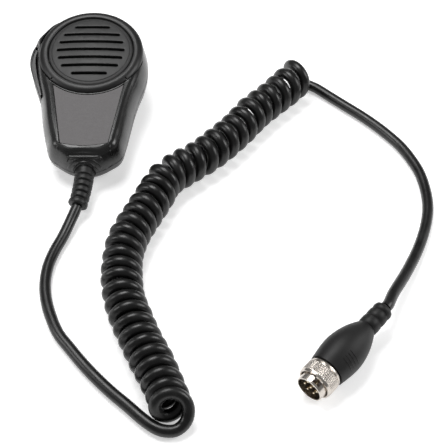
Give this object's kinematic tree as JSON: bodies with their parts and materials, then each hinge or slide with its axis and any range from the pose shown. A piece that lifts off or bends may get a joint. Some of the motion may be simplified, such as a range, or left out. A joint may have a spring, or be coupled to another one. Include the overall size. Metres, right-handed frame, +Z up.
{
  "type": "hand microphone",
  "caption": "Palm-held communications microphone with a talk bar, a slotted grille, a hang-up button and a coiled cord ending in a multi-pin plug.",
  "frame": {"origin": "on the table, under the middle of the box round the microphone itself, without its strain relief, cord and plug", "axes": "+Z up from the table that the microphone lies on; +Y along the microphone from its cord entry towards its round head; +X to the right of the face, with the talk bar on the -X flank"},
  "size_m": [0.2052, 0.2416, 0.0393],
  "materials": {
    "case_black": "satin black moulded plastic with softened edges",
    "grille_charcoal": "fine matt charcoal moulded plastic",
    "label_grey": "fine-grained warm grey plastic film",
    "talk_bar_black": "satin black moulded plastic",
    "switch_black": "black moulded plastic",
    "pale_rubber": "soft pale grey rubber",
    "capsule_metal": "drawn aluminium can",
    "board_green": "green solder mask",
    "screw_steel": "bright zinc-plated steel",
    "button_nickel": "polished nickel plate",
    "relief_rubber": "matt black moulded rubber",
    "cord_jacket": "glossy black polyurethane jacket",
    "plug_nickel": "warm nickel plate, knurled on the ring",
    "insulator_brown": "dark brown phenolic resin",
    "pin_gold": "thin pale gold plate"
  },
  "bodies": {
    "root": {"front_case": "case_black", "rear_case": "case_black", "grille_bezel": "case_black", "grille": "grille_charcoal", "label_plate": "label_grey", "microswitch": "switch_black", "board_capacitor": "switch_black", "capsule_boot": "pale_rubber", "cord_terminal": "pale_rubber", "mic_capsule": "capsule_metal", "circuit_board": "board_green", "board_screw_1": "screw_steel", "board_screw_2": "screw_steel", "talk_bar_pin": "screw_steel", "case_screw_1": "screw_steel", "case_screw_2": "screw_steel", "case_screw_3": "screw_steel", "case_screw_4": "screw_steel", "hang_button_screw": "screw_steel", "hang_button_nut": "screw_steel", "cord_clamp": "screw_steel", "clamp_screw": "screw_steel", "hang_button": "button_nickel", "strain_relief": "relief_rubber", "plug_boot": "relief_rubber", "inner_lead": "cord_jacket", "cord_tail_mic": "cord_jacket", "cord_coil": "cord_jacket", "cord_tail_plug": "cord_jacket", "plug_shell": "plug_nickel", "plug_insulator": "insulator_brown", "plug_pin_1": "pin_gold", "plug_pin_2": "pin_gold", "plug_pin_3": "pin_gold", "plug_pin_4": "pin_gold", "plug_pin_5": "pin_gold", "plug_pin_6": "pin_gold", "plug_pin_7": "pin_gold"},
    "talk_bar": {"talk_bar": "talk_bar_black", "talk_bar_spring": "screw_steel"},
    "switch_plunger": {"switch_plunger": "pale_rubber"},
    "coupling_ring": {"coupling_ring": "plug_nickel"}
  },
  "joints": [
    {"name": "talk_bar_press", "type": "hinge", "parent": "root", "child": "talk_bar", "pos_m": [-0.0258, 0.0257, 0.02484], "axis": [0, -0.1771, 0.9842], "range_deg": [0, 3.5], "stiffness_Nm_per_rad": 0.15, "springref_deg": -11.46},
    {"name": "switch_plunger_travel", "type": "slide", "parent": "root", "child": "switch_plunger", "axis": [1, 0, 0], "range_m": [0, 0.002]},
    {"name": "coupling_ring_spin", "type": "hinge", "parent": "root", "child": "coupling_ring", "pos_m": [0.1107, -0.16861, 0.00869], "axis": [-0.6611, -0.7481, -0.057], "continuous": true}
  ],
  "couplings": [
    {"joint": "switch_plunger_travel", "follows": "talk_bar_press", "m_per_rad": 0.0232}
  ]
}
